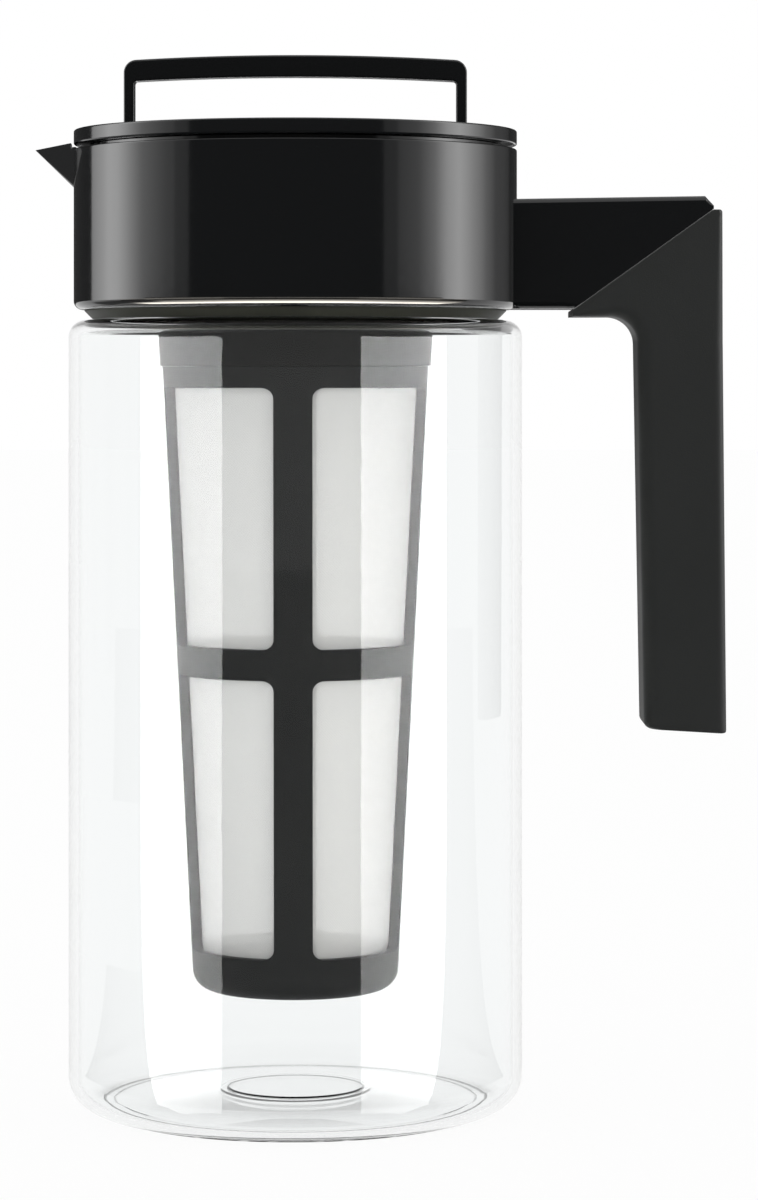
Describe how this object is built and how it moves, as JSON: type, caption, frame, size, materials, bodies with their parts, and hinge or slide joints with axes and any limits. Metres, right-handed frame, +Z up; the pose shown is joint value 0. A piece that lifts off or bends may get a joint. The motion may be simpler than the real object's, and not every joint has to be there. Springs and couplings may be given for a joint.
{
  "type": "cold brew coffee maker",
  "caption": "Clear jug with a pouring collar, side handle and lift-off lid; a tapered mesh infuser hangs from the lid, and a bail handle folds flat on top.",
  "frame": {"origin": "centre of the ring that the jug stands on, at table level", "axes": "+Z up along the axis of the jug, +X towards the side handle, -X towards the spout, -Y towards the viewer of the picture"},
  "size_m": [0.1747, 0.115, 0.2668],
  "materials": {
    "clear_copolyester": "clear",
    "gloss_black_abs": "polished",
    "satin_black_pp": "satin",
    "soft_touch_black": "matte",
    "black_nylon_frame": "satin",
    "glass_filled_nylon": "matte",
    "white_nylon_mesh": "fine weave",
    "clear_grey_silicone": "satin",
    "stainless_steel": "satin"
  },
  "bodies": {
    "jug": {"jug_body": "clear_copolyester", "neck_seal": "clear_grey_silicone", "collar_sleeve": "satin_black_pp", "collar_shell": "gloss_black_abs", "handle_core": "glass_filled_nylon", "handle_screws": "stainless_steel", "handle_arm": "gloss_black_abs", "handle_grip": "soft_touch_black"},
    "lid_seal": {"lid_gasket": "clear_grey_silicone"},
    "lid": {"lid_cap": "gloss_black_abs", "lid_plug": "satin_black_pp", "infuser_socket": "satin_black_pp"},
    "bail": {"bail_handle": "gloss_black_abs", "bail_pins": "stainless_steel"},
    "basket_seal": {"infuser_seal": "clear_grey_silicone"},
    "infuser": {"infuser_frame": "black_nylon_frame", "infuser_mesh": "white_nylon_mesh"}
  },
  "joints": [
    {"name": "lid_lift", "type": "slide", "parent": "jug", "child": "lid_seal", "axis": [0, 0, 1], "range_m": [0, 0.25]},
    {"name": "lid_turn", "type": "hinge", "parent": "lid_seal", "child": "lid", "pos_m": [0, 0, 0.2394], "axis": [0, 0, 1], "range_deg": [-45, 0]},
    {"name": "bail_fold", "type": "hinge", "parent": "lid", "child": "bail", "pos_m": [0, 0, 0.2447], "axis": [1, 0, 0], "range_deg": [-90, 90]},
    {"name": "infuser_drop", "type": "slide", "parent": "lid", "child": "basket_seal", "axis": [0, 0, -1], "range_m": [0, 0.016]},
    {"name": "infuser_turn", "type": "hinge", "parent": "basket_seal", "child": "infuser", "pos_m": [0, 0, 0.203], "axis": [0, 0, 1], "range_deg": [0, 45]}
  ]
}
